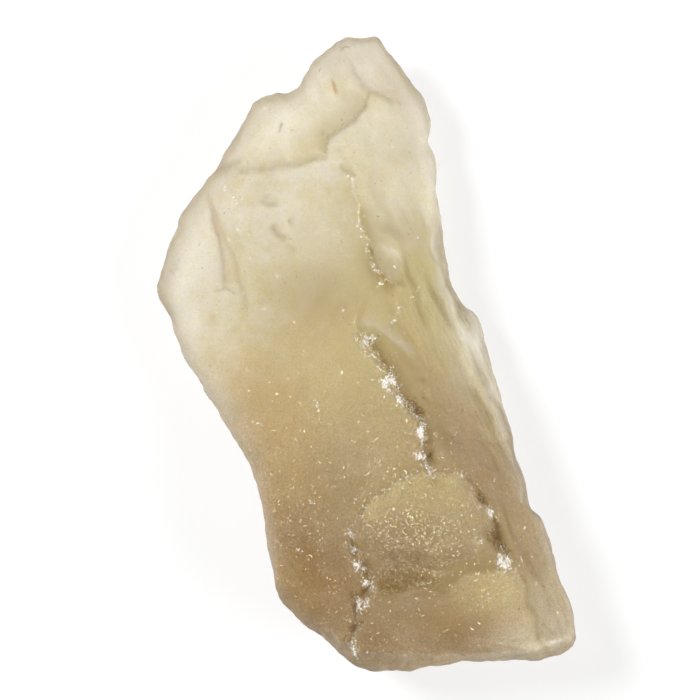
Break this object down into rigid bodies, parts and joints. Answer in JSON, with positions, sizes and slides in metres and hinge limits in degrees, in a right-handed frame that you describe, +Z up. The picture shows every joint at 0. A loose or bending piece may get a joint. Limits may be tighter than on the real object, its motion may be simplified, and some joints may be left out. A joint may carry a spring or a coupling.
{
  "type": "raw libyan desert glass",
  "caption": "Wedge-shaped lump of frosted, see-through pale yellow-green natural glass, with scooped scars, a chipped ridge and whitish mineral dust in its clefts, lying on its flattest side.",
  "frame": {"origin": "on the resting face, under the middle of the lump's box", "axes": "+Z up out of the scooped side, +Y towards the narrow end, +X towards the steep streaked flank"},
  "size_m": [0.0684, 0.1036, 0.0233],
  "materials": {
    "frosted_glass": "Natural silica glass, pale yellow-green and cloudy, with a wind-frosted surface; thin edges are nearly clear, clefts hold white and brown mineral dust."
  },
  "bodies": {
    "root": {"desert_glass": "frosted_glass"}
  },
  "joints": []
}
